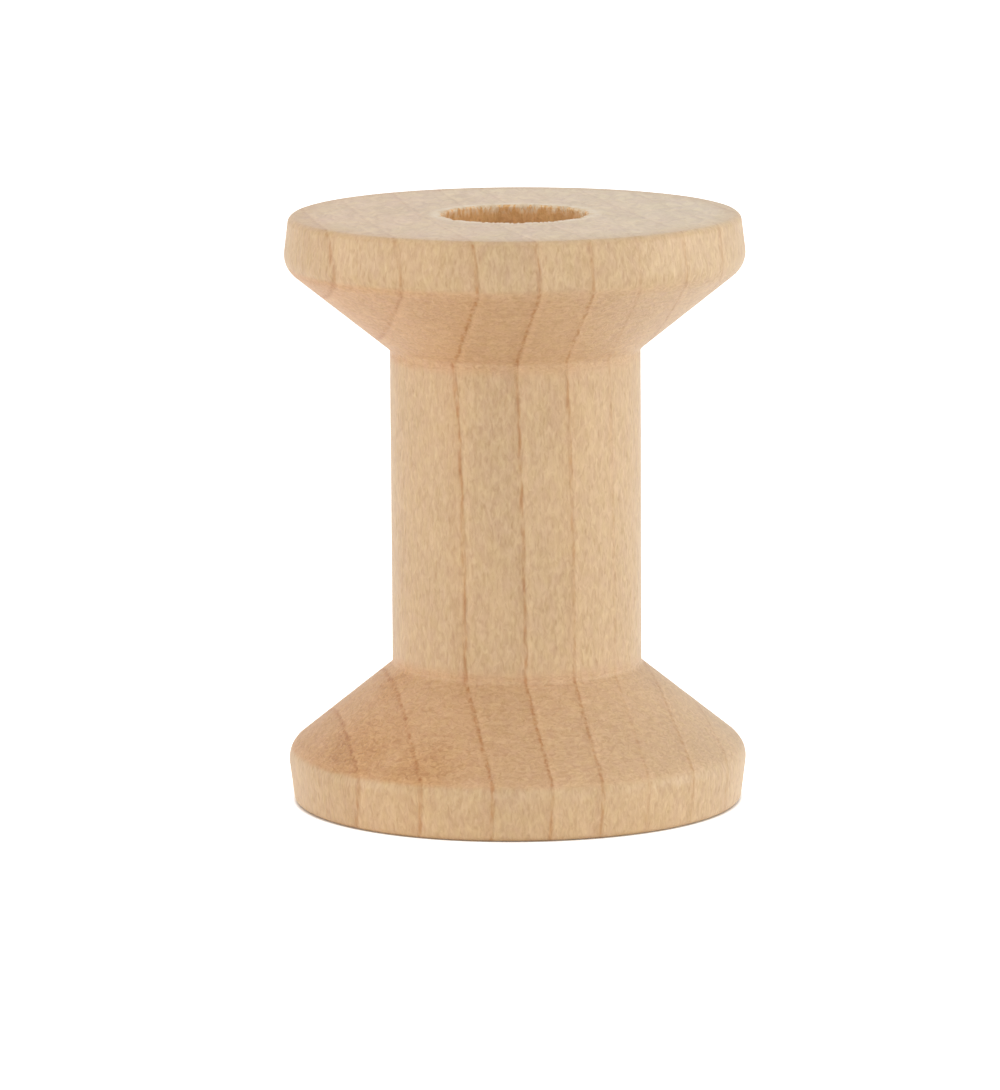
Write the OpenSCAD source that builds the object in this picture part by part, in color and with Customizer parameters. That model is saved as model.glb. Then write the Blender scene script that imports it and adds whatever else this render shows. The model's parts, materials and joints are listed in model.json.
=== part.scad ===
// Wooden thread spool, turned from one block of wood whose grain runs along the bore.
// It stands on its foot face, which is centred on the origin, and +Z runs along the bore.

/* [Overall] */
// Height over both end faces
spool_h = 28.6; // [28:0.1:60]
// Diameter of both flanges at their widest line
flange_d = 22.2; // [20:0.1:26]

/* [Rims] */
// Height of the foot's rim, up to the line where it would meet its cone in a sharp corner
foot_rim_h = 2.6; // [1.8:0.05:3.5]
// Height of the top's rim, down to the line where it would meet its cone in a sharp corner
top_rim_h = 2.4; // [1.8:0.05:3.5]
// Angle at which each rim narrows towards its end face, in degrees
rim_taper = 7; // [0:0.5:10]
// Radius that breaks the edge of each end face
end_edge_r = 0.35; // [0.1:0.05:0.6]
// Radius of the shoulder between a rim and its cone
shoulder_r = 1.2; // [0.2:0.05:1.4]

/* [Cones] */
// Slope of both cones, measured from the end faces, in degrees
cone_slope = 38.7; // [25:0.1:42]

/* [Barrel] */
// Diameter of the barrel that the thread is wound on
barrel_d = 12.1; // [11:0.1:16]
// Radius in the corner between a cone and the barrel
root_r = 0.3; // [0.1:0.05:0.6]

/* [Bore] */
// Diameter of the straight hole for the spindle
bore_d = 7; // [4:0.1:8.5]
// Width and depth of the bevel at each mouth of the hole
bore_bevel = 0.1; // [0.05:0.05:0.4]

/* [Hidden] */
$fn = 180;

// How far the hole's cutter runs past the faces that it opens
cut_past = 1;
// How far each rounding's circle stands over its edges, so that they cross instead of only touching
arc_overlap = 0.0005;
barrel_r = barrel_d / 2;
bore_r = bore_d / 2;

// Rounding the shoulder takes a little off the flange, so its sharp corner lies outside the widest line.
// The factor follows from the two tangents, at rim_taper above level and at the cone's angle below it.
cone_turn = 90 - cone_slope;
shoulder_loss = (sin(rim_taper) + sin(cone_turn)) / sin(rim_taper + cone_turn) - 1;
corner_r = flange_d / 2 + shoulder_r * shoulder_loss;
cone_h = (corner_r - barrel_r) * tan(cone_slope);
foot_end_r = corner_r - foot_rim_h * tan(rim_taper);
top_end_r = corner_r - top_rim_h * tan(rim_taper);

// The turned outline from the foot to the top. Each corner is its radius, its height and how it is rounded.
OUTLINE = [
    [0, 0, 0],
    [foot_end_r, 0, end_edge_r],
    [corner_r, foot_rim_h, shoulder_r],
    [barrel_r, foot_rim_h + cone_h, root_r],
    [barrel_r, spool_h - top_rim_h - cone_h, root_r],
    [corner_r, spool_h - top_rim_h, shoulder_r],
    [top_end_r, spool_h, end_edge_r],
    [0, spool_h, 0],
];

function unit(v) = v / norm(v);
function spot(corners, i) = let (c = corners[i % len(corners)]) [c[0], c[1]];
function to_before(corners, i) = unit(spot(corners, i + len(corners) - 1) - spot(corners, i));
function to_after(corners, i) = unit(spot(corners, i + 1) - spot(corners, i));
// Half of the angle between the corner's two edges
function half_angle(corners, i) = acos(to_before(corners, i) * to_after(corners, i)) / 2;
// How far from the corner its rounding leaves each edge
function run_out(corners, i) = corners[i][2] / tan(half_angle(corners, i));
// The straight cut between the two places where the rounding leaves the edges
function corner_cut(corners, i) = [for (along = [to_before(corners, i), to_after(corners, i)])
    spot(corners, i) + along * run_out(corners, i)];
function round_centre(corners, i) = spot(corners, i)
    + unit(to_before(corners, i) + to_after(corners, i)) * corners[i][2] / sin(half_angle(corners, i));
// The outline keeps its inside on the left, so it turns left at an outside corner
function is_outside(corners, i) = cross(-to_before(corners, i), to_after(corners, i)) > 0;

// The circles that round either the outside corners or the inside ones
module corner_circles(corners, outside) {
    for (i = [0:len(corners) - 1])
        if (corners[i][2] > 0 && is_outside(corners, i) == outside)
            translate(round_centre(corners, i)) circle(r = corners[i][2] + arc_overlap);
}

// An outline rounded by true arcs: every rounded corner is first cut straight across,
// then circles fill the outside corners and hollow the inside ones.
module rounded_outline(corners) {
    difference() {
        union() {
            polygon([for (i = [0:len(corners) - 1])
                each corners[i][2] > 0 ? corner_cut(corners, i) : [spot(corners, i)]]);
            corner_circles(corners, true);
        }
        corner_circles(corners, false);
    }
}

// The bevel's cutter at the foot's mouth, carried on below the face at the same slope
module mouth_cutter() {
    translate([0, 0, -cut_past])
        cylinder(r1 = bore_r + bore_bevel + cut_past, r2 = bore_r, h = cut_past + bore_bevel);
}

// The straight hole, opened by a bevel at each end face
module bore_cutter() {
    translate([0, 0, -cut_past]) cylinder(r = bore_r, h = spool_h + 2 * cut_past);
    mouth_cutter();
    translate([0, 0, spool_h]) mirror([0, 0, 1]) mouth_cutter();
}

module spool_body() {
    color([0.84, 0.69, 0.54])
        difference() {
            rotate_extrude() rounded_outline(OUTLINE);
            bore_cutter();
        }
}

spool_body();
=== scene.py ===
"""Looks of a turned wooden spool: the sanded surface, the wood it is cut from and the studio round it.

Lengths in the panel are in metres, as Blender's are. The spool stands on its foot face at the origin,
and its bore runs up along +Z.
"""

import json
import math

import bpy
import numpy as np
from bpy.props import FloatProperty, FloatVectorProperty, IntProperty, PointerProperty
from bpy.types import Operator, Panel, PropertyGroup
from mathutils import Matrix, Vector


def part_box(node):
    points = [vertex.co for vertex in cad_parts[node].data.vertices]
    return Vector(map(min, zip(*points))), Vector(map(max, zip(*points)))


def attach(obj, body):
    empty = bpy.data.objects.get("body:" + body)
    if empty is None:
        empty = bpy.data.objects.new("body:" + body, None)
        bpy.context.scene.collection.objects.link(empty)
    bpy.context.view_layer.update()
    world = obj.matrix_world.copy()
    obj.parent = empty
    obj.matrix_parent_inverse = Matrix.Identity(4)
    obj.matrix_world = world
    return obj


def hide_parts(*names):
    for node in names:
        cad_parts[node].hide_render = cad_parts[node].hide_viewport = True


bl_info = {
    "name": "Turned Wooden Spool",
    "version": (1, 0, 0),
    "blender": (4, 5, 0),
    "location": "3D View > Sidebar > Spool",
    "description": "Turns a wooden thread spool with its wood grain, torn fibres and studio",
    "category": "Object",
}

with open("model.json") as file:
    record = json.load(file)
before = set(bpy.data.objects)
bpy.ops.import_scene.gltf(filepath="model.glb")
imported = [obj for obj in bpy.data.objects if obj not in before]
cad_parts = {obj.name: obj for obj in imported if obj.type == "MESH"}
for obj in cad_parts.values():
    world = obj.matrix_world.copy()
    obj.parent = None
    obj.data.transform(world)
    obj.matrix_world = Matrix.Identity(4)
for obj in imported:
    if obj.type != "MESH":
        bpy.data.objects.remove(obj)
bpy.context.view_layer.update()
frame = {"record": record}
NODE = "spool_body"
BODY = "root"
MM = 0.001
NODE_LOW, NODE_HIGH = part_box(NODE)
SPOOL_HEIGHT = NODE_HIGH.z - NODE_LOW.z
FLANGE_DIAMETER = NODE_HIGH.x - NODE_LOW.x
BORE_RADIUS = next(m["dims"]["r_mm"] for m in frame["record"]["mounts"] if m["name"] == "spindle_bore") * MM

# Where along the shoulder's rounding, from the rim to the cone, the cut finish starts, and over how much of it
CUT_START, CUT_SPREAD = 0.35, 0.4

# The photograph's frame in pixels, and where the middle of the spool falls in it
PICTURE_WIDTH, PICTURE_HEIGHT = 1000, 1090
SPOOL_PIXEL = (516.2, 507.0)

# Edges of the growth rings across the block in mm, from left to right, and how dark each edge is
RING_EDGES = (
    (-11.4, 0.7), (-9.05, 0.8), (-6.62, 0.8), (-3.69, 1.0), (-1.08, 0.95),
    (1.31, 0.8), (3.67, 0.4), (6.26, 0.6), (8.75, 0.5), (11.2, 0.6),
)
# How the rings lie across the block: x plus these shares of y and of the height over the middle, and for
# each mm of x, y and height a bend with the other two
RING_LIE = (1.0, 0.227, 0.026)
RING_BEND = ((0.0, 0.0084, 0.0), (0.0, -0.0016, 0.0007), (-0.0010, 0.0, 0.0018))

# At a ring's edge, in mm from it: the slow darkening and its depth, the dark line and its depth, the line's
# end, and the pale line's rise and fall
RING_SLOW, RING_SLOW_DEPTH = -0.9, 0.18
RING_LINE, RING_LINE_DEPTH = (-0.2, -0.05), 0.78
RING_END = (-0.02, 0.08)
RING_PALE_RISE, RING_PALE_FALL = (0.04, 0.14), (0.16, 0.4)

# Patches where the tool has rubbed the foot's cone brown: angle in degrees, height and size in mm
BURNISHED = ((-50, 3.6, 2.6), (-27, 3.2, 2.0), (-64, 6.1, 1.2), (118, 3.4, 2.0), (205, 4.2, 1.7))

# How far the cones' cut finish fades out along the barrel
BARREL_FADE = 0.9 * MM
# Height of the unevenness that runs round the turned surface: the slow drift and the small facets
DRIFT_HEIGHT, FACET_HEIGHT = 0.010 * MM, 0.004 * MM
# Height of the ridges that the tool left on the cones, and their pitch in mm
RIDGE_HEIGHT, RIDGE_PITCH = 0.004 * MM, 0.42
# How wide and deep the bore's mouths are torn, and how far the tears reach from the edge, outwards and down
TORN_WIDTH, TORN_DEPTH = 0.05 * MM, 0.13 * MM
TORN_REACH, TORN_REACH_DOWN = 0.22 * MM, 0.3 * MM

# Where the floor's glow starts and where it is full, measured inwards from the flange's radius
GLOW_START, GLOW_FULL = 0.4 * MM, 0.05 * MM


def linear(red, green, blue):
    """A colour written as screen values from 0 to 255, turned into linear light."""
    return tuple(
        value / 255 / 12.92 if value <= 10 else ((value / 255 + 0.055) / 1.055) ** 2.4
        for value in (red, green, blue)
    )


# Sizes and colours that a user would change


class SpoolSizes(PropertyGroup):
    """The turned outline. Its height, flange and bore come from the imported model."""

    height: FloatProperty(
        name="Height", description="Height over both end faces", default=SPOOL_HEIGHT, min=0.01,
        unit="LENGTH", precision=4)
    flange: FloatProperty(
        name="Flange diameter", description="Diameter of both flanges at their widest line",
        default=FLANGE_DIAMETER, min=0.01, unit="LENGTH", precision=4)
    bore: FloatProperty(
        name="Bore radius", description="Radius of the straight hole", default=BORE_RADIUS, min=0.001,
        unit="LENGTH", precision=4)
    foot_rim: FloatProperty(
        name="Foot rim", description="Height of the foot's rim", default=2.6 * MM, min=0.001,
        unit="LENGTH", precision=4)
    top_rim: FloatProperty(
        name="Top rim", description="Height of the top's rim", default=2.4 * MM, min=0.001,
        unit="LENGTH", precision=4)
    rim_taper: FloatProperty(
        name="Rim taper", description="Angle at which a rim narrows towards its end face",
        default=math.radians(7), min=0, max=0.3, subtype="ANGLE")
    cone_slope: FloatProperty(
        name="Cone slope", description="Slope of both cones, measured from the end faces",
        default=math.radians(38.7), min=0.3, max=0.8, subtype="ANGLE")
    barrel: FloatProperty(
        name="Barrel diameter", description="Diameter of the barrel", default=12.1 * MM, min=0.005,
        unit="LENGTH", precision=4)
    end_edge: FloatProperty(
        name="End edge", description="Radius that breaks the edge of an end face", default=0.35 * MM,
        min=0.0001, unit="LENGTH", precision=5)
    shoulder: FloatProperty(
        name="Shoulder", description="Radius between a rim and its cone", default=1.2 * MM,
        min=0.0001, unit="LENGTH", precision=5)
    root: FloatProperty(
        name="Root", description="Radius in the corner between a cone and the barrel", default=0.3 * MM,
        min=0.0001, unit="LENGTH", precision=5)
    mouth: FloatProperty(
        name="Mouth bevel", description="Width of the bevel at each mouth of the bore", default=0.1 * MM,
        min=0.00002, unit="LENGTH", precision=5)
    columns: IntProperty(
        name="Columns", description="Faces round the spool", default=420, min=24)


class SpoolWood(PropertyGroup):
    """The wood and how its cut faces take the light."""

    pale: FloatVectorProperty(
        name="Early wood", description="Colour of the pale part of a ring on a sanded face",
        subtype="COLOR", size=3, min=0, max=1, default=linear(213, 179, 137))
    dark: FloatVectorProperty(
        name="Late wood", description="Colour of a ring's dark edge",
        subtype="COLOR", size=3, min=0, max=1, default=linear(184, 130, 78))
    cut: FloatVectorProperty(
        name="Cut cones", description="Tint of the cones, whose fibres are cut across",
        subtype="COLOR", size=3, min=0, max=1, default=linear(255, 248, 246))
    end_grain: FloatVectorProperty(
        name="End grain", description="Colour that half takes the place of the wood's own on the end faces",
        subtype="COLOR", size=3, min=0, max=1, default=linear(222, 190, 148))
    rubbed: FloatVectorProperty(
        name="Rubbed brown", description="Tint where the turning tool has rubbed the wood",
        subtype="COLOR", size=3, min=0, max=1, default=linear(246, 238, 224))
    bored: FloatVectorProperty(
        name="Bored wall", description="Colour of the drilled wall inside",
        subtype="COLOR", size=3, min=0, max=1, default=linear(240, 188, 122))
    # Also colours the painted highlight on the end faces round the bore's mouths.
    fuzz_and_highlight: FloatVectorProperty(
        name="Torn fibre", description="Colour of torn fibres at the mouths of the bore",
        subtype="COLOR", size=3, min=0, max=1, default=linear(240, 218, 186))
    roughness: FloatProperty(
        name="Roughness", description="Roughness of the sanded faces", default=0.45, min=0, max=1,
        subtype="FACTOR")
    ring_turn: FloatProperty(
        name="Ring turn", description="Angle of the growth rings to the Y axis, seen from above",
        default=math.radians(12.8), subtype="ANGLE")
    ring_lean: FloatProperty(
        name="Ring lean", description="Angle of the growth rings to the bore", default=math.radians(1.5),
        subtype="ANGLE")
    seed: IntProperty(
        name="Seed", description="Seed of the small unevenness of the turned shape", default=7, min=0)


class SpoolStudio(PropertyGroup):
    """The camera, the lamps and the white round the spool."""

    distance: FloatProperty(
        name="Distance", description="From the camera to the middle of the spool", default=0.3696,
        min=0.1, unit="LENGTH")
    elevation: FloatProperty(
        name="Elevation", description="Angle of the camera above the horizon",
        default=math.radians(9.25), subtype="ANGLE")
    roll: FloatProperty(
        name="Roll", description="Turn of the camera about its own axis", default=math.radians(-0.362),
        subtype="ANGLE")
    focal_pixels: FloatProperty(
        name="Focal length", description="Focal length in the photograph's pixels", default=7641, min=500)
    sky: FloatProperty(
        name="Sky level", description="Light from all round, where 1 lights a white card to white",
        default=0.62, min=0, max=2)
    floor_glow: FloatProperty(
        name="Floor glow", description="What the floor adds to itself in the camera's eye",
        default=0.75, min=0, max=2)
    floor_white: FloatProperty(
        name="Floor white", description="How much light the floor sends back", default=0.98, min=0, max=1,
        subtype="FACTOR")


# The turned shape


def crowded_ends(low, high, count):
    """count places from low to high, crowded towards both ends as a half turn of a cosine is."""
    turn = np.linspace(0, math.pi, count)
    return low + (high - low) * (1 - np.cos(turn)) / 2


class Outline:
    """A closed outline in radius and height, walked with the solid on its left.

    Each corner is rounded by the arc that leaves both its edges smoothly: the arc's centre lies on the
    line that halves the corner, at the rounding's radius over the sine of half the corner's angle.
    """

    def __init__(self):
        self.corners = []

    def corner(self, radius, height, rounding, arc_rows, edge_rows, cut):
        """Adds a corner with the rows of its arc and of the edge after it, and that edge's finish."""
        self.corners.append((np.array([radius, height]), rounding, arc_rows, edge_rows, cut))

    def arc(self, index):
        """The points of one corner's arc: its centre plus its radius towards a direction that turns evenly."""
        count = len(self.corners)
        here, rounding, rows = self.corners[index][:3]
        back = self.corners[index - 1][0] - here
        ahead = self.corners[(index + 1) % count][0] - here
        back, ahead = back / np.linalg.norm(back), ahead / np.linalg.norm(ahead)
        half = math.acos(np.clip(back @ ahead, -1, 1)) / 2
        middle = (back + ahead) / np.linalg.norm(back + ahead)
        centre = here + middle * rounding / math.sin(half)
        reach = rounding / math.tan(half)
        first = here + back * reach - centre
        last = here + ahead * reach - centre
        start = math.atan2(first[1], first[0])
        sweep = math.atan2(last[1], last[0]) - start
        sweep = (sweep + math.pi) % (2 * math.pi) - math.pi
        angle = start + sweep * np.linspace(0, 1, rows)
        return centre + rounding * np.stack([np.cos(angle), np.sin(angle)], 1)

    def walk(self):
        """The whole outline as rows of radius and height, and each row's finish, from 0, sanded, to 1, cut."""
        points, cut = [], []
        arcs = [self.arc(index) for index in range(len(self.corners))]
        for index, (_, _, arc_rows, edge_rows, cut_after) in enumerate(self.corners):
            cut_before = self.corners[index - 1][4]
            following = arcs[(index + 1) % len(arcs)]
            share = np.clip((np.linspace(0, 1, arc_rows) - CUT_START) / CUT_SPREAD, 0, 1)
            if cut_before > cut_after:
                share = 1 - share[::-1]
            points.append(arcs[index])
            cut.append(cut_before + (cut_after - cut_before) * share)
            along = crowded_ends(0, 1, edge_rows + 2)[1:-1, None]
            points.append(arcs[index][-1] + (following[0] - arcs[index][-1]) * along)
            cut.append(np.full(edge_rows, cut_after))
        return np.concatenate(points), np.concatenate(cut)


def flange_corner(sizes):
    """Radius of the sharp corner between a rim and its cone, whose rounding comes out at the flange's radius."""
    taper, turn = sizes.rim_taper, math.pi / 2 - sizes.cone_slope
    loss = (math.sin(taper) + math.sin(turn)) / math.sin(taper + turn) - 1
    return sizes.flange / 2 + sizes.shoulder * loss


def cone_height(sizes):
    """Height of a cone: its width between flange and barrel times the slope's tangent."""
    return (flange_corner(sizes) - sizes.barrel / 2) * math.tan(sizes.cone_slope)


def spool_outline(sizes):
    """The spool's outline from its sizes: bore, foot face, rim, cone, barrel, cone, rim and top face."""
    taper = sizes.rim_taper
    corner, cone = flange_corner(sizes), cone_height(sizes)
    barrel, top = sizes.barrel / 2, sizes.height
    mouth = sizes.bore + sizes.mouth
    soft = sizes.mouth / 4
    outline = Outline()
    outline.corner(mouth, 0, soft, 3, 14, 0)
    outline.corner(corner - sizes.foot_rim * math.tan(taper), 0, sizes.end_edge, 8, 8, 0)
    outline.corner(corner, sizes.foot_rim, sizes.shoulder, 11, 26, 1)
    outline.corner(barrel, sizes.foot_rim + cone, sizes.root, 4, 30, 1)
    outline.corner(barrel, top - sizes.top_rim - cone, sizes.root, 4, 26, 1)
    outline.corner(corner, top - sizes.top_rim, sizes.shoulder, 11, 8, 0)
    outline.corner(corner - sizes.top_rim * math.tan(taper), top, sizes.end_edge, 8, 16, 0)
    outline.corner(mouth, top, soft, 3, 2, 0)
    outline.corner(sizes.bore, top - sizes.mouth, soft, 3, 26, 0)
    outline.corner(sizes.bore, sizes.mouth, soft, 3, 2, 0)
    return outline.walk()


def ripple(angle, along, waves, random):
    """Smooth unevenness: a sum of cosines, each with a whole number of turns round the spool.

    waves holds (least turns, most turns, how many, waves along each mm), and the sum is scaled to about 1.
    """
    least, most, count, along_rate = waves
    turns = random.integers(least, most + 1, count)
    rates = random.uniform(-along_rate, along_rate, count)
    starts = random.uniform(0, 2 * math.pi, count)
    total = sum(
        np.cos(turn * angle + 2 * math.pi * rate * along + start)
        for turn, rate, start in zip(turns, rates, starts)
    )
    return total / math.sqrt(count / 2)


def surface_mesh(name, points, quads, attributes):
    """A smooth closed mesh from its points and four-cornered faces, with a value at each point."""
    mesh = bpy.data.meshes.new(name)
    mesh.from_pydata(points, [], quads)
    for title, values in attributes.items():
        mesh.attributes.new(title, "FLOAT", "POINT").data.foreach_set("value", values.astype(np.float32))
    mesh.polygons.foreach_set("use_smooth", np.ones(len(mesh.polygons), bool))
    mesh.update()
    return mesh


def ring_quads(rows, columns):
    """Faces of a grid that closes on itself both ways, turned outwards."""
    row, column = np.meshgrid(np.arange(rows), np.arange(columns), indexing="ij")
    next_row, next_column = (row + 1) % rows, (column + 1) % columns
    return np.stack([
        row * columns + column,
        row * columns + next_column,
        next_row * columns + next_column,
        next_row * columns + column,
    ], -1).reshape(-1, 4)


def spool_mesh(sizes, seed):
    """The turned surface: each row of the outline carried round the axis.

    x is the row's radius times the sine of the angle, y is minus the radius times its cosine, and z the
    row's height. The radius wanders a few hundredths of a millimetre, the cones carry the ridges that
    the tool left, and the mouths of the bore are ragged.
    """
    outline, cut = spool_outline(sizes)
    rows, columns = len(outline), sizes.columns
    random = np.random.default_rng(seed)
    angle = (np.arange(columns) / columns * 2 * math.pi)[None, :]
    radius, height = outline[:, :1], outline[:, 1:]
    steps = np.hypot(*np.diff(outline, axis=0).T)
    along = np.concatenate([[0], np.cumsum(steps)])[:, None] / MM
    barrel_ends = (sizes.foot_rim + cone_height(sizes), sizes.height - sizes.top_rim - cone_height(sizes))
    inside_ends = np.minimum(outline[:, 1] - barrel_ends[0], barrel_ends[1] - outline[:, 1])
    on_barrel = np.abs(outline[:, 0] - sizes.barrel / 2) < 0.05 * MM
    cut = np.where(on_barrel, np.clip(1 - inside_ends / BARREL_FADE, 0, 1), cut)

    outside = np.clip((radius - sizes.bore - 0.6 * MM) / (1.5 * MM), 0, 1)
    drift = ripple(angle, height / MM, (2, 5, 6, 0.02), random) * DRIFT_HEIGHT
    facet = ripple(angle, height / MM, (9, 26, 14, 0.15), random) * FACET_HEIGHT
    sway = 0.05 * ripple(angle, along, (1, 9, 6, 0.1), random)
    ridge = np.sin(2 * math.pi * (along + sway) / RIDGE_PITCH)
    at_mouth = np.exp(-((radius - sizes.bore) / TORN_REACH) ** 2)
    at_mouth = at_mouth * np.exp(-(np.minimum(height, sizes.height - height) / TORN_REACH_DOWN) ** 2)
    ragged = ripple(angle, along, (40, 130, 26, 0.6), random)
    tears = ripple(angle, along, (5, 30, 10, 0.2), random)
    chip = np.clip(0.5 * ragged + 0.5 * tears, -0.8, 1.6) * at_mouth

    radius = radius + outside * (drift + facet) + cut[:, None] * ridge * RIDGE_HEIGHT + chip * TORN_WIDTH
    inward = np.sign(height - sizes.height / 2)
    height = height - inward * np.clip(chip, 0, None) * TORN_DEPTH
    points = np.stack(np.broadcast_arrays(radius * np.sin(angle), -radius * np.cos(angle), height), -1)

    spread = np.ones((rows, columns))
    attributes = {
        "along": (along * spread).ravel(),
        "cut": (cut[:, None] * spread).ravel(),
        "mouth": (at_mouth * spread).ravel(),
    }
    return surface_mesh("turned_spool", points.reshape(-1, 3), ring_quads(rows, columns), attributes)


# Node building


class Graph:
    """Adds nodes to a tree and links them. Each call gives back the node's first output that is shown."""

    def __init__(self, tree):
        self.tree = tree

    def node(self, kind, settings=None, inputs=None):
        """A node of a kind, with its settings and what its inputs take: a value, or another node's output."""
        made = self.tree.nodes.new(kind)
        for key, value in (settings or {}).items():
            setattr(made, key, value)
        for key, value in (inputs or {}).items():
            if isinstance(value, bpy.types.NodeSocket):
                self.tree.links.new(value, made.inputs[key])
            else:
                made.inputs[key].default_value = value
        return made

    def math(self, operation, first, second=0.0, third=0.0, clamp=False):
        """A sum, product or other operation on up to three numbers."""
        settings = {"operation": operation, "use_clamp": clamp}
        return self.node("ShaderNodeMath", settings, {0: first, 1: second, 2: third}).outputs[0]

    def vector(self, operation, first, second):
        """A sum, product or other operation on two vectors."""
        return self.node("ShaderNodeVectorMath", {"operation": operation}, {0: first, 1: second}).outputs[0]

    def dot(self, first, second):
        """The dot product of two vectors."""
        settings = {"operation": "DOT_PRODUCT"}
        return self.node("ShaderNodeVectorMath", settings, {0: first, 1: second}).outputs["Value"]

    def rescale(self, value, low, high, to_low=0.0, to_high=1.0, smooth=True):
        """value carried from low..high to to_low..to_high and held there, on a straight or an S-shaped slope."""
        settings = {"interpolation_type": "SMOOTHSTEP" if smooth else "LINEAR", "clamp": True}
        inputs = {"Value": value, "From Min": low, "From Max": high, "To Min": to_low, "To Max": to_high}
        return self.node("ShaderNodeMapRange", settings, inputs).outputs[0]

    def noise(self, vector, scale=1.0, detail=2.0, roughness=0.5):
        """Cloudy noise round a half at each place."""
        inputs = {"Vector": vector, "Scale": scale, "Detail": detail, "Roughness": roughness}
        return self.node("ShaderNodeTexNoise", {"noise_dimensions": "3D"}, inputs).outputs["Fac"]

    def mix(self, share, first, second, blend="MIX"):
        """Two colours mixed or multiplied by a share from 0 to 1."""
        settings = {"data_type": "RGBA", "blend_type": blend}
        return self.node("ShaderNodeMix", settings, {0: share, 6: first, 7: second}).outputs[2]

    def group(self, group, inputs):
        """A node group placed with its own values."""
        return self.node("ShaderNodeGroup", {"node_tree": group}, inputs).outputs


SOCKETS = {"number": "NodeSocketFloat", "vector": "NodeSocketVector", "colour": "NodeSocketColor"}


def new_group(name, inputs, outputs):
    """An empty shader group with named inputs and outputs, given as name and kind."""
    tree = bpy.data.node_groups.new(name, "ShaderNodeTree")
    for title, kind in inputs:
        tree.interface.new_socket(title, in_out="INPUT", socket_type=SOCKETS[kind])
    for title, kind in outputs:
        tree.interface.new_socket(title, in_out="OUTPUT", socket_type=SOCKETS[kind])
    given = tree.nodes.new("NodeGroupInput").outputs
    result = tree.nodes.new("NodeGroupOutput").inputs
    return tree, Graph(tree), given, result


def growth_rings():
    """Growth rings as bent sheets through the block.

    A place's distance across the rings is the dot product of the place with RING_LIE, plus the place's
    own product with RING_BEND, plus noise that makes the sheets wander broadly and crinkle finely.
    Towards each ring's edge the wood darkens slowly over the last 0.9 mm and quickly over the last
    0.2 mm, in dashes along the grain. It falls back at once, and a pale line of early wood follows.
    Sheen side runs from -1 to 1 across the rings, left to right; the wood material paints a sheen of the light
    from the right with it.
    """
    inputs = (("Place", "vector"), ("Wander", "number"))
    outputs = (("Late wood", "number"), ("Early wood", "number"), ("Ring tone", "number"),
               ("Sheen side", "number"))
    tree, graph, given, result = new_group("Growth rings", inputs, outputs)
    place = given["Place"]
    bends = [graph.dot(place, row) for row in RING_BEND]
    bend = graph.node("ShaderNodeCombineXYZ", inputs=dict(enumerate(bends))).outputs[0]
    across = graph.math("ADD", graph.dot(place, RING_LIE), graph.dot(place, bend))
    broad = graph.noise(graph.vector("MULTIPLY", place, (0.3, 0.3, 0.09)), detail=1.0)
    fine = graph.noise(graph.vector("MULTIPLY", place, (2.6, 2.6, 0.9)), detail=3.0, roughness=0.6)
    sway = graph.math("ADD", graph.math("MULTIPLY", graph.math("SUBTRACT", broad, 0.5), 0.7),
                      graph.math("MULTIPLY", graph.math("SUBTRACT", fine, 0.5), 1.0))
    across = graph.math("MULTIPLY_ADD", sway, given["Wander"], across)
    dashes = graph.noise(graph.vector("MULTIPLY", place, (5.0, 5.0, 1.1)), detail=2.0)
    dashes = graph.rescale(dashes, 0.35, 0.65, 0.15, 1.2)
    late, early, passed = 0.0, 0.0, 0.0
    for edge, depth in RING_EDGES:
        beyond = graph.math("SUBTRACT", across, edge)
        slow = graph.rescale(beyond, RING_SLOW, 0.0, 0.0, RING_SLOW_DEPTH)
        line = graph.math("MULTIPLY", graph.rescale(beyond, *RING_LINE), dashes)
        dark = graph.math("MULTIPLY_ADD", line, RING_LINE_DEPTH, slow)
        dark = graph.math("MULTIPLY", dark, graph.rescale(beyond, *RING_END, 1.0, 0.0))
        pale = graph.rescale(beyond, *RING_PALE_FALL, 1.0, 0.0)
        pale = graph.math("MULTIPLY", graph.rescale(beyond, *RING_PALE_RISE), pale)
        late = graph.math("MULTIPLY_ADD", dark, depth, late)
        early = graph.math("MULTIPLY_ADD", pale, depth, early)
        passed = graph.math("ADD", graph.math("GREATER_THAN", beyond, 0.0), passed)
    tone = graph.node("ShaderNodeTexWhiteNoise", {"noise_dimensions": "1D"}, {"W": passed}).outputs["Value"]
    tree.links.new(late, result["Late wood"])
    tree.links.new(early, result["Early wood"])
    tree.links.new(tone, result["Ring tone"])
    tree.links.new(graph.rescale(across, -10.0, 10.0, -1.0, 1.0, smooth=False), result["Sheen side"])
    return tree


def crinkled_grain():
    """Short wavy dashes, dark and pale: noise whose places are squeezed by a dash's size and then bent."""
    inputs = (("Place", "vector"), ("Size", "vector"), ("Waviness", "number"))
    outputs = (("Grain", "number"), ("Warmth", "number"))
    tree, graph, given, result = new_group("Crinkled grain", inputs, outputs)
    squeezed = graph.vector("DIVIDE", given["Place"], given["Size"])
    settings = {"Vector": squeezed, "Scale": 0.5, "Detail": 2.0, "Roughness": 0.55,
                "Distortion": given["Waviness"]}
    grain = graph.node("ShaderNodeTexNoise", inputs=settings).outputs["Fac"]
    warmth = graph.noise(graph.vector("MULTIPLY", squeezed, (0.22, 0.22, 0.35)), detail=2.0)
    tree.links.new(graph.rescale(grain, 0.3, 0.7, -1.0, 1.0, smooth=False), result["Grain"])
    tree.links.new(graph.rescale(warmth, 0.3, 0.7, -1.0, 1.0, smooth=False), result["Warmth"])
    return tree


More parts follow.
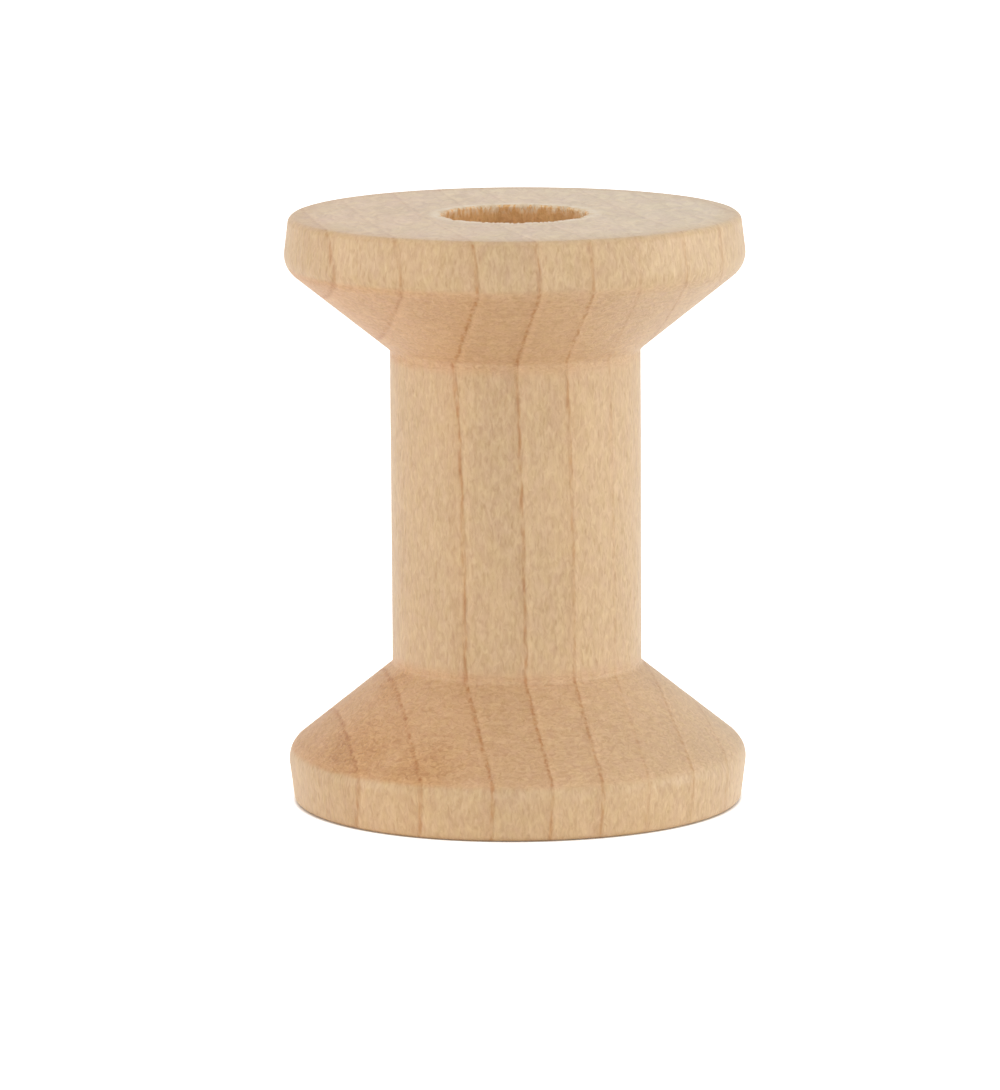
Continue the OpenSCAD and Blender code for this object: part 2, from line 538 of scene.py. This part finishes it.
def grain_flecks():
    """Slim flecks that run with the grain: vessels, rays and torn spots.

    Space is squeezed by the fleck's width and length, and each cell of a cell pattern holds one fleck
    where the cell's own random number is under Amount. Cut across, a fleck shows as a dot.
    """
    inputs = (("Place", "vector"), ("Size", "vector"), ("Amount", "number"), ("Fullness", "number"))
    tree, graph, given, result = new_group("Grain flecks", inputs, (("Fleck", "number"),))
    squeezed = graph.vector("DIVIDE", given["Place"], given["Size"])
    bend = graph.node("ShaderNodeTexNoise", inputs={"Vector": squeezed, "Scale": 0.7, "Detail": 1.0})
    squeezed = graph.vector("ADD", squeezed, graph.vector("MULTIPLY", bend.outputs["Color"], (0.9,) * 3))
    cells = graph.node("ShaderNodeTexVoronoi", {"feature": "F1"}, {"Vector": squeezed, "Scale": 1.0})
    chance = graph.node("ShaderNodeSeparateColor", inputs={0: cells.outputs["Color"]})
    chosen = graph.math("LESS_THAN", chance.outputs[0], given["Amount"])
    strength = graph.rescale(chance.outputs[1], 0.0, 1.0, 0.35, 1.0, smooth=False)
    inner = graph.math("MULTIPLY", given["Fullness"], 0.35)
    body = graph.rescale(cells.outputs["Distance"], inner, given["Fullness"], 1.0, 0.0)
    fleck = graph.math("MULTIPLY", graph.math("MULTIPLY", body, chosen), strength)
    tree.links.new(fleck, result["Fleck"])
    return tree


def turning_marks():
    """Fine rings that a cutting edge leaves: a wave along the outline that noise bends and breaks up."""
    inputs = (("Along", "number"), ("Place", "vector"), ("Pitch", "number"), ("Unevenness", "number"))
    tree, graph, given, result = new_group("Turning marks", inputs, (("Marks", "number"),))
    sway = graph.noise(given["Place"], scale=0.8, detail=3.0, roughness=0.6)
    along = graph.math("MULTIPLY_ADD", graph.math("SUBTRACT", sway, 0.5), given["Unevenness"], given["Along"])
    turns = graph.math("DIVIDE", along, given["Pitch"])
    wave = graph.math("SINE", graph.math("MULTIPLY", turns, 2 * math.pi))
    broken = graph.rescale(graph.noise(given["Place"], scale=1.7, detail=2.0), 0.35, 0.65, 0.2, 1.0)
    marks = graph.math("MULTIPLY_ADD", graph.math("MULTIPLY", wave, broken), 0.5, 0.5)
    tree.links.new(marks, result["Marks"])
    return tree


def rubbed_patches(sizes):
    """Soft patches on the foot's cone, broken up by noise, each round its own point of the cone.

    The cone's radius at a height is the flange corner's, less the height over the rim divided by the
    slope's tangent.
    """
    inputs = (("Place", "vector"), ("Raggedness", "number"))
    tree, graph, given, result = new_group("Rubbed patches", inputs, (("Patch", "number"),))
    clouds = graph.math("SUBTRACT", graph.noise(given["Place"], scale=0.9, detail=4.0, roughness=0.65), 0.5)
    total = 0.0
    for degrees, height, size in BURNISHED:
        angle = math.radians(degrees)
        over_rim = height - sizes.foot_rim / MM
        reach = flange_corner(sizes) / MM - over_rim / math.tan(sizes.cone_slope)
        middle = (reach * math.sin(angle), -reach * math.cos(angle), height - sizes.height / 2 / MM)
        away = graph.node("ShaderNodeVectorMath", {"operation": "DISTANCE"}, {0: given["Place"], 1: middle})
        away = graph.math("MULTIPLY_ADD", clouds, given["Raggedness"], away.outputs["Value"])
        total = graph.math("MAXIMUM", graph.rescale(away, size * 0.2, size * 1.5, 1.0, 0.0), total)
    tree.links.new(total, result["Patch"])
    return tree


# Materials


def principled(name):
    """A new material, its graph and its Principled shader, with nothing else in it."""
    material = bpy.data.materials.new(name)
    material.use_nodes = True
    tree = material.node_tree
    tree.nodes.clear()
    graph = Graph(tree)
    shader = graph.node("ShaderNodeBsdfPrincipled")
    graph.node("ShaderNodeOutputMaterial", inputs={"Surface": shader.outputs[0]})
    return material, graph, shader


def colour(rgb):
    """A colour property as four values for a socket."""
    return (*rgb, 1.0)


def wood_material(wood, sizes):
    """Turned hardwood, cut from one block: rings, fibres, vessels, tool marks, wear and torn edges, with a
    painted sheen towards +X and a painted highlight round the bore's mouths.
    """
    material, graph, shader = principled("turned_hardwood")
    rings, flecks, crinkle = growth_rings(), grain_flecks(), crinkled_grain()
    marks, patches = turning_marks(), rubbed_patches(sizes)
    spot = graph.node("ShaderNodeTexCoord")
    middle = sizes.height / 2 / MM
    place = graph.node("ShaderNodeMapping", {"vector_type": "POINT"}, {
        "Vector": spot.outputs["Object"], "Location": (0, 0, -middle), "Scale": (1 / MM,) * 3}).outputs[0]
    grown = graph.node("ShaderNodeMapping", {"vector_type": "POINT"}, {
        "Vector": place, "Rotation": (0, wood.ring_lean, -wood.ring_turn)}).outputs[0]

    def attribute(title):
        return graph.node("ShaderNodeAttribute", {"attribute_name": title}).outputs["Fac"]

    along, mouth = attribute("along"), attribute("mouth")
    level = graph.node("ShaderNodeSeparateXYZ", inputs={0: place}).outputs[2]
    soft = graph.math("SUBTRACT", graph.noise(place, scale=1.6, detail=3.0, roughness=0.6), 0.5)
    level = graph.math("MULTIPLY_ADD", soft, 0.2, graph.math("ABSOLUTE", level))
    end_face = graph.rescale(level, middle - 0.32, middle - 0.02)
    radius = graph.node("ShaderNodeVectorMath", {"operation": "LENGTH"},
                        {0: graph.vector("MULTIPLY", place, (1.0, 1.0, 0.0))}).outputs["Value"]
    bore, rim = sizes.bore / MM, sizes.flange / 2 / MM
    inner = graph.rescale(graph.math("MULTIPLY_ADD", soft, 1.6, radius), rim - 1.8, rim - 0.3, 1.0, 0.4)
    end_face = graph.math("MULTIPLY", end_face, inner)
    bored = graph.rescale(radius, bore + 0.02, bore + 0.12, 1.0, 0.0)
    cut = graph.rescale(graph.math("MULTIPLY_ADD", soft, 0.4, attribute("cut")), 0.15, 0.85)

    ring = graph.group(rings, {"Place": place, "Wander": 0.22})
    fibre = graph.group(crinkle, {"Place": grown, "Size": (0.1, 0.1, 0.26), "Waviness": 0.9})
    curl = graph.group(crinkle, {"Place": place, "Size": (0.17, 0.17, 0.085), "Waviness": 1.4})
    mottle = graph.group(crinkle, {"Place": place, "Size": (0.28, 0.8, 0.5), "Waviness": 1.2})
    vessels = graph.group(flecks, {"Place": grown, "Size": (0.15, 0.15, 0.55), "Amount": 0.35,
                                   "Fullness": 0.5})[0]
    bright = graph.group(flecks, {"Place": graph.vector("ADD", grown, (31.0, 17.0, 5.0)),
                                  "Size": (0.17, 0.17, 0.5), "Amount": 0.35, "Fullness": 0.55})[0]
    cloud = graph.noise(graph.vector("MULTIPLY", grown, (0.35, 0.35, 0.16)), detail=2.0)
    tool = graph.group(marks, {"Along": along, "Place": place, "Pitch": 0.36, "Unevenness": 0.6})[0]
    patch = graph.group(patches, {"Place": place, "Raggedness": 3.2})[0]

    tint = graph.mix(graph.math("MULTIPLY", ring["Late wood"], 0.75), colour(wood.pale), colour(wood.dark))
    tint = graph.mix(end_face, tint, graph.mix(0.5, tint, colour(wood.end_grain)))
    tint = graph.mix(cut, tint, graph.mix(1.0, tint, colour(wood.cut), "MULTIPLY"))
    tint = graph.mix(graph.math("MULTIPLY", bored, 0.85), tint, colour(wood.bored))
    rubbed = graph.math("MULTIPLY", patch, graph.rescale(cut, 0.0, 1.0, 0.3, 1.0))
    tint = graph.mix(rubbed, tint, graph.mix(1.0, tint, colour(wood.rubbed), "MULTIPLY"))

    tone = graph.math("ADD", graph.rescale(ring["Ring tone"], 0.0, 1.0, -0.02, 0.02, smooth=False), 1.0)
    tone = graph.math("ADD", tone, graph.rescale(cloud, 0.25, 0.75, -0.035, 0.035))
    tone = graph.math("MULTIPLY_ADD", ring["Early wood"], 0.05, tone)
    side = graph.math("MULTIPLY_ADD", fibre["Grain"], 0.15, graph.math("MULTIPLY", vessels, -0.12))
    side = graph.math("MULTIPLY_ADD", bright, 0.10, side)
    rough = graph.math("MULTIPLY_ADD", curl["Grain"], 0.16, graph.math("MULTIPLY", fibre["Grain"], 0.03))
    rough = graph.math("MULTIPLY_ADD", graph.math("SUBTRACT", tool, 0.5), 0.05, rough)
    rough = graph.math("MULTIPLY_ADD", graph.math("MULTIPLY", rubbed, curl["Grain"]), 0.08, rough)
    detail = graph.math("MULTIPLY_ADD", graph.math("SUBTRACT", rough, side), cut, side)
    faced = graph.math("MULTIPLY_ADD", mottle["Grain"], 0.16, graph.math("MULTIPLY", vessels, -0.06))
    detail = graph.math("MULTIPLY_ADD", graph.math("SUBTRACT", faced, detail), end_face, detail)
    streaks = graph.math("MULTIPLY_ADD", fibre["Grain"], 0.16, graph.math("MULTIPLY", curl["Grain"], 0.08))
    detail = graph.math("MULTIPLY_ADD", graph.math("SUBTRACT", streaks, detail), bored, detail)
    # Painted sheen: the wood turns paler and bluer towards +X and warmer towards -X, most on the cones and end
    # faces, standing in for the light and gloss from the right.
    lean = graph.math("MULTIPLY_ADD", end_face, 0.04, graph.math("MULTIPLY_ADD", cut, 0.07, 0.03))
    lean = graph.math("MULTIPLY", lean, ring["Sheen side"])
    warmth = graph.math("MULTIPLY", mottle["Warmth"], end_face)
    warmth = graph.math("MULTIPLY_ADD", warmth, 1.5, fibre["Warmth"])
    red = graph.math("MULTIPLY_ADD", detail, 0.72, tone)
    green = graph.math("ADD", graph.math("ADD", detail, tone), lean)
    green = graph.math("MULTIPLY_ADD", warmth, -0.014, green)
    blue = graph.math("MULTIPLY_ADD", lean, 2.0, graph.math("MULTIPLY_ADD", detail, 1.15, tone))
    blue = graph.math("MULTIPLY_ADD", warmth, 0.03, blue)
    shade = graph.node("ShaderNodeCombineXYZ", inputs={0: red, 1: green, 2: blue}).outputs[0]
    tint = graph.mix(1.0, tint, shade, "MULTIPLY")

    # Painted highlight: a pale ring on the end faces just outside the bore's mouths, where the rounded lip
    # catches the light; it shares the torn fibres' colour.
    painted_lip_highlight = graph.rescale(graph.math("MULTIPLY_ADD", soft, 0.5, radius), bore + 0.3, bore + 0.8, 1.0, 0.0)
    painted_lip_highlight = graph.math("MULTIPLY", graph.math("MULTIPLY", painted_lip_highlight, end_face), graph.math("SUBTRACT", 1.0, bored))
    torn = graph.math("MULTIPLY", mouth, graph.rescale(fibre["Grain"], -0.5, 0.4))
    torn = graph.math("MAXIMUM", torn, graph.math("MULTIPLY", painted_lip_highlight, 0.75))
    tint = graph.mix(torn, tint, colour(wood.fuzz_and_highlight))
    graph.tree.links.new(tint, shader.inputs["Base Color"])

    roughness = graph.math("MULTIPLY_ADD", end_face, -0.12, wood.roughness)
    roughness = graph.math("MULTIPLY_ADD", cut, 0.04, roughness)
    roughness = graph.math("MULTIPLY_ADD", vessels, 0.15, roughness)
    roughness = graph.math("MULTIPLY_ADD", bored, 0.2, roughness)
    graph.tree.links.new(roughness, shader.inputs["Roughness"])

    relief = graph.math("MULTIPLY_ADD", detail, 8.0, graph.math("MULTIPLY", vessels, -0.6))
    relief = graph.math("MULTIPLY_ADD", ring["Late wood"], 0.3, relief)
    bump = graph.node("ShaderNodeBump", inputs={"Height": relief, "Strength": 0.5, "Distance": 0.012 * MM})
    graph.tree.links.new(bump.outputs[0], shader.inputs["Normal"])
    return material


# Stage


def seen_directly(graph):
    """1 for the camera's own rays and for those that gloss and glass send on, else 0."""
    path = graph.node("ShaderNodeLightPath").outputs
    mirrored = graph.math("MAXIMUM", path["Is Glossy Ray"], path["Is Transmission Ray"])
    return graph.math("MAXIMUM", path["Is Camera Ray"], mirrored)


def white_world(studio):
    """A white room: it shows as plain white, and lights the spool at the level of the sky."""
    world = bpy.data.worlds.new("white_room")
    world.use_nodes = True
    tree = world.node_tree
    tree.nodes.clear()
    graph = Graph(tree)
    light = graph.node("ShaderNodeBackground", inputs={"Color": (1, 1, 1, 1), "Strength": studio.sky})
    white = graph.node("ShaderNodeBackground", inputs={"Color": (1, 1, 1, 1), "Strength": 1.0})
    both = graph.node("ShaderNodeMixShader", inputs={0: seen_directly(graph), 1: light.outputs[0],
                                                     2: white.outputs[0]})
    graph.node("ShaderNodeOutputWorld", inputs={"Surface": both.outputs[0]})
    bpy.context.scene.world = world


def floor_material(studio, foot):
    """Matte white that keeps shadows and is clear from below. Where it is seen it also glows, from the
    foot's edge on, so that only the shadow close to the foot stays."""
    material = bpy.data.materials.new("white_floor")
    material.use_nodes = True
    tree = material.node_tree
    tree.nodes.clear()
    graph = Graph(tree)
    white = (studio.floor_white,) * 3 + (1,)
    matte = graph.node("ShaderNodeBsdfDiffuse", inputs={"Color": white}).outputs[0]
    spot = graph.node("ShaderNodeTexCoord").outputs["Object"]
    away = graph.node("ShaderNodeVectorMath", {"operation": "LENGTH"}, {0: spot}).outputs["Value"]
    ramp = graph.rescale(away, foot - GLOW_START, foot - GLOW_FULL)
    strength = graph.math("MULTIPLY", graph.math("MULTIPLY", seen_directly(graph), ramp), studio.floor_glow)
    glow = graph.node("ShaderNodeEmission", inputs={"Strength": strength}).outputs[0]
    lit = graph.node("ShaderNodeAddShader", inputs={0: matte, 1: glow}).outputs[0]
    clear = graph.node("ShaderNodeBsdfTransparent").outputs[0]
    below = graph.node("ShaderNodeNewGeometry").outputs["Backfacing"]
    both = graph.node("ShaderNodeMixShader", inputs={0: below, 1: lit, 2: clear})
    graph.node("ShaderNodeOutputMaterial", inputs={"Surface": both.outputs[0]})
    return material


def make_floor(studio, foot):
    """A round floor: rings of points whose radius grows as the square of the ring's number."""
    rings, columns, reach = 24, 96, 2.5
    angle = (np.arange(columns) / columns * 2 * math.pi)[None, :]
    radius = reach * (np.arange(1, rings + 1)[:, None] / rings) ** 2
    points = np.stack(np.broadcast_arrays(radius * np.cos(angle), radius * np.sin(angle), 0 * radius), -1)
    row, column = np.meshgrid(np.arange(rings - 1), np.arange(columns), indexing="ij")
    after = (column + 1) % columns
    quads = np.stack([row * columns + column, (row + 1) * columns + column,
                      (row + 1) * columns + after, row * columns + after], -1).reshape(-1, 4)
    faces = quads.tolist() + [list(range(columns))]
    mesh = bpy.data.meshes.new("floor")
    mesh.from_pydata(points.reshape(-1, 3), [], faces)
    mesh.materials.append(floor_material(studio, foot))
    floor = bpy.data.objects.new("floor", mesh)
    bpy.context.scene.collection.objects.link(floor)


# Each lamp's name, azimuth and elevation in degrees, distance, width and height in metres, and level
LAMPS = (
    ("right_softbox", 88, 6, 0.50, 0.40, 0.10, 0.26),
    ("left_softbox", -80, 6, 0.50, 0.40, 0.10, 0.19),
    ("front_softbox", 5, 5, 0.70, 0.50, 0.12, 0.12),
    ("overhead_softbox", 20, 75, 0.50, 0.50, 0.50, 0.16),
)


def direction(azimuth, elevation):
    """The direction from the spool at an azimuth, 0 towards the camera and 90 to the right."""
    level = math.cos(elevation)
    return Vector((math.sin(azimuth) * level, -math.cos(azimuth) * level, math.sin(elevation)))


def make_lamps(target):
    """Soft lamps that face the spool. A lamp's level is what it lights a white card to, and its
    power is that level times pi squared times its distance squared."""
    for name, azimuth, elevation, distance, width, height, level in LAMPS:
        light = bpy.data.lights.new(name, "AREA")
        light.shape = "RECTANGLE"
        light.size, light.size_y = width, height
        light.energy = level * math.pi ** 2 * distance ** 2
        lamp = bpy.data.objects.new(name, light)
        towards = direction(math.radians(azimuth), math.radians(elevation))
        lamp.location = target + towards * distance
        lamp.rotation_euler = towards.to_track_quat("Z", "Y").to_euler()
        bpy.context.scene.collection.objects.link(lamp)


def make_camera(studio, target):
    """The photograph's camera: it looks at the middle of the spool, rolled a little, and its shift puts
    that point at its own pixel."""
    back = direction(0, studio.elevation)
    right = Vector((1, 0, 0))
    up = back.cross(right)
    turn, lean = math.cos(studio.roll), math.sin(studio.roll)
    right, up = turn * right + lean * up, -lean * right + turn * up
    data = bpy.data.cameras.new("camera")
    data.lens = studio.focal_pixels / PICTURE_HEIGHT * data.sensor_width
    data.shift_x = (PICTURE_WIDTH / 2 - SPOOL_PIXEL[0]) / PICTURE_HEIGHT
    data.shift_y = (SPOOL_PIXEL[1] - PICTURE_HEIGHT / 2) / PICTURE_HEIGHT
    data.clip_start, data.clip_end = 0.01, 20
    camera = bpy.data.objects.new("camera", data)
    camera.matrix_world = Matrix.Translation(target + back * studio.distance) @ Matrix(
        (right, up, back)).transposed().to_4x4()
    bpy.context.scene.collection.objects.link(camera)
    bpy.context.scene.camera = camera


# Operators


class SPOOL_OT_stage(Operator):
    """Set up the camera, the white floor, the world and the lamps"""

    bl_idname = "spool.stage"
    bl_label = "Set the stage"

    def execute(self, context):
        scene = context.scene
        studio = scene.spool_studio
        target = Vector((0, 0, scene.spool_sizes.height / 2))
        scene.view_settings.view_transform = "Standard"
        make_camera(studio, target)
        make_floor(studio, scene.spool_sizes.flange / 2)
        white_world(studio)
        make_lamps(target)
        return {"FINISHED"}


class SPOOL_OT_body(Operator):
    """Turn the spool and give it its wood"""

    bl_idname = "spool.body"
    bl_label = "Turn the spool"

    def execute(self, context):
        sizes, wood = context.scene.spool_sizes, context.scene.spool_wood
        mesh = spool_mesh(sizes, wood.seed)
        mesh.materials.append(wood_material(wood, sizes))
        spool = bpy.data.objects.new("turned_spool", mesh)
        context.scene.collection.objects.link(spool)
        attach(spool, BODY)
        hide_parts(NODE)
        return {"FINISHED"}


class SPOOL_PT_sidebar(Panel):
    """The spool's sizes, wood and studio, with the operators that make them"""

    bl_idname = "SPOOL_PT_sidebar"
    bl_label = "Turned Wooden Spool"
    bl_space_type = "VIEW_3D"
    bl_region_type = "UI"
    bl_category = "Spool"

    def draw(self, context):
        scene = context.scene
        for operator in OPERATORS:
            self.layout.operator(operator.bl_idname)
        for group in (scene.spool_sizes, scene.spool_wood, scene.spool_studio):
            box = self.layout.box()
            for name in group.__annotations__:
                box.prop(group, name)


OPERATORS = (SPOOL_OT_stage, SPOOL_OT_body)
CLASSES = (SpoolSizes, SpoolWood, SpoolStudio, *OPERATORS, SPOOL_PT_sidebar)


def register():
    for kind in CLASSES:
        bpy.utils.register_class(kind)
    bpy.types.Scene.spool_sizes = PointerProperty(type=SpoolSizes)
    bpy.types.Scene.spool_wood = PointerProperty(type=SpoolWood)
    bpy.types.Scene.spool_studio = PointerProperty(type=SpoolStudio)


def unregister():
    del bpy.types.Scene.spool_studio
    del bpy.types.Scene.spool_wood
    del bpy.types.Scene.spool_sizes
    for kind in reversed(CLASSES):
        bpy.utils.unregister_class(kind)


def main():
    register()
    bpy.ops.spool.stage()
    bpy.ops.spool.body()


if __name__ == "__main__":
    main()
